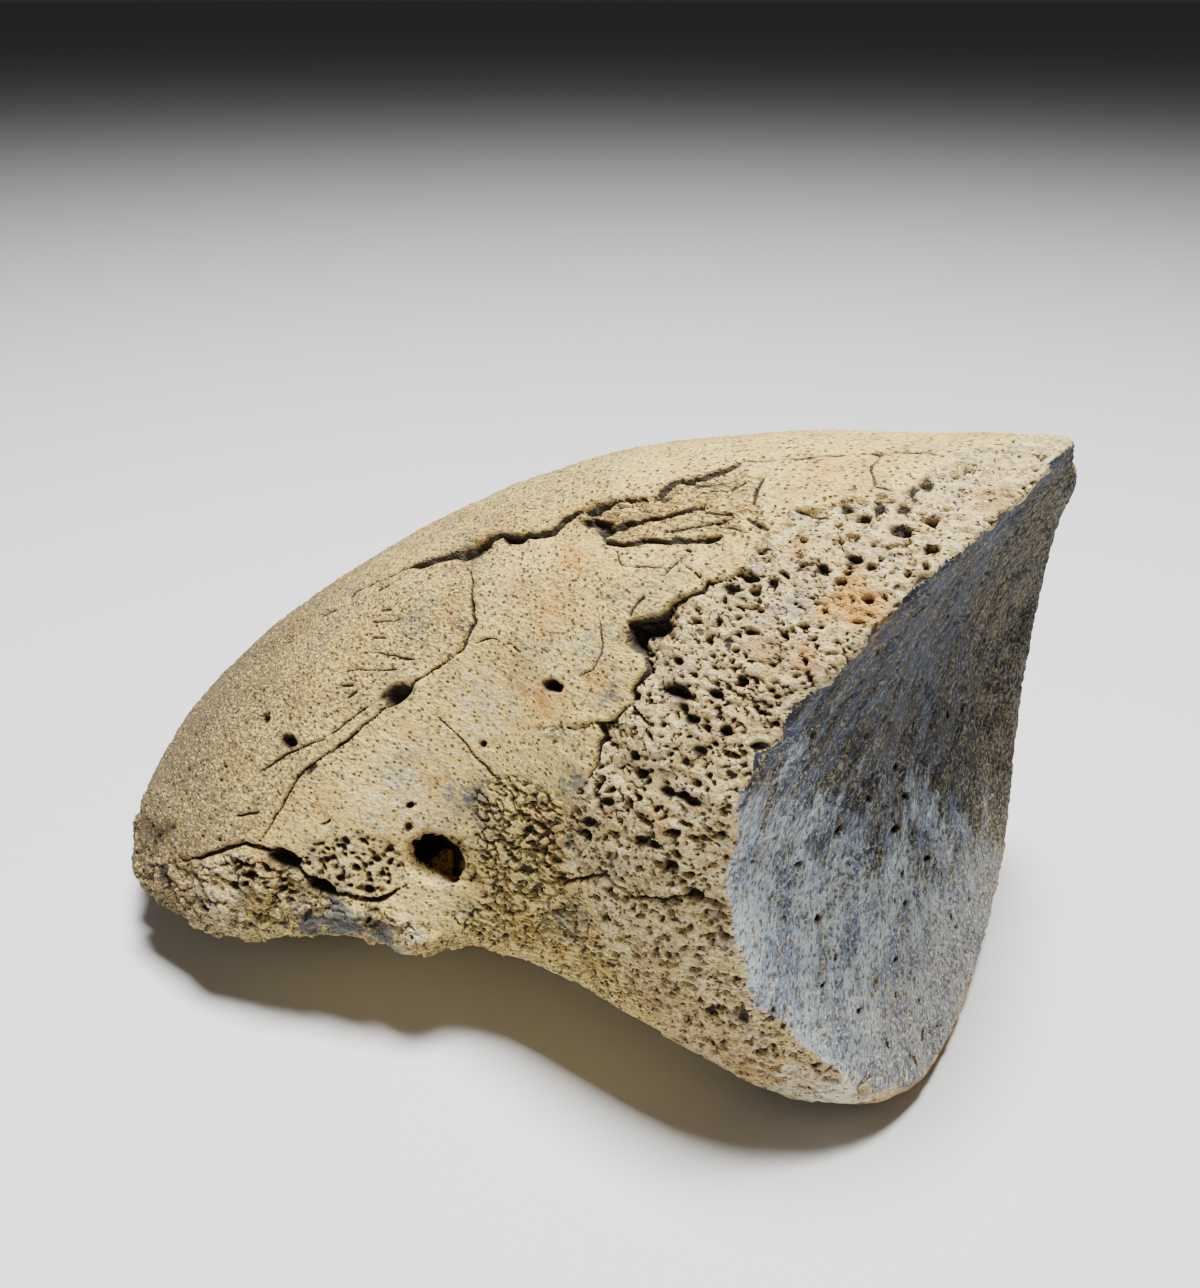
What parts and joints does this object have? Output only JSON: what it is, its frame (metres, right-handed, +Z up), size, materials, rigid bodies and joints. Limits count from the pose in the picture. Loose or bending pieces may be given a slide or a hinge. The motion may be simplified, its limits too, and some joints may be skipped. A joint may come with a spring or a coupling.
{
  "type": "fossil hadrosaur toe bone",
  "caption": "Hoof-like end bone of a hadrosaur's hind toe, fossil, lying on its underside: hollowed joint face, pitted spongy collar, smooth back, rough rounded tip.",
  "frame": {"origin": "under the middle of the bone's box, at the level it rests on", "axes": "+X along the bone towards its joint face, +Z up through its back, -Y its left side, which carries the larger nutrient canal"},
  "size_m": [0.1026, 0.071, 0.063],
  "materials": {
    "fossil_bone": "cream and tan mineralised bone, finely porous, with open spongy bone round the joint end and a blue-grey joint face"
  },
  "bodies": {
    "root": {"toe_bone": "fossil_bone"}
  },
  "joints": []
}
